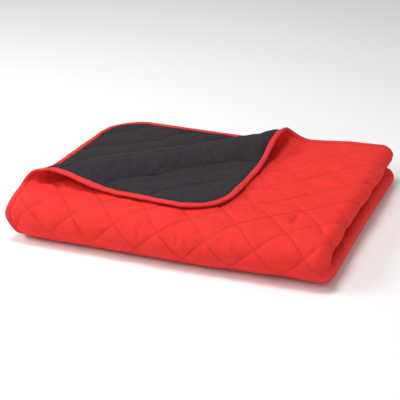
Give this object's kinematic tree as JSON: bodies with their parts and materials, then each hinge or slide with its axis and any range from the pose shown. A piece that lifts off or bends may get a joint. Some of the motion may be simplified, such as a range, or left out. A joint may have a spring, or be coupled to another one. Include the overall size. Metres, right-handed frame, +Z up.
{
  "type": "folded quilt",
  "caption": "Quilted bed cover with a red face, black back and bound edge, folded flat with its top corner turned over.",
  "frame": {"origin": "middle of the flat underside that the folded quilt rests on", "axes": "+X to the right along the rounded front fold, +Y to the back, +Z up"},
  "size_m": [0.7664, 0.5271, 0.1476],
  "materials": {
    "red_cloth": "soft matt quilted microfibre",
    "black_cloth": "soft matt microfibre",
    "binding_tape": "soft woven bias tape"
  },
  "bodies": {
    "root": {"face_panel": "red_cloth", "back_panel": "black_cloth", "edge_binding": "binding_tape"}
  },
  "joints": []
}
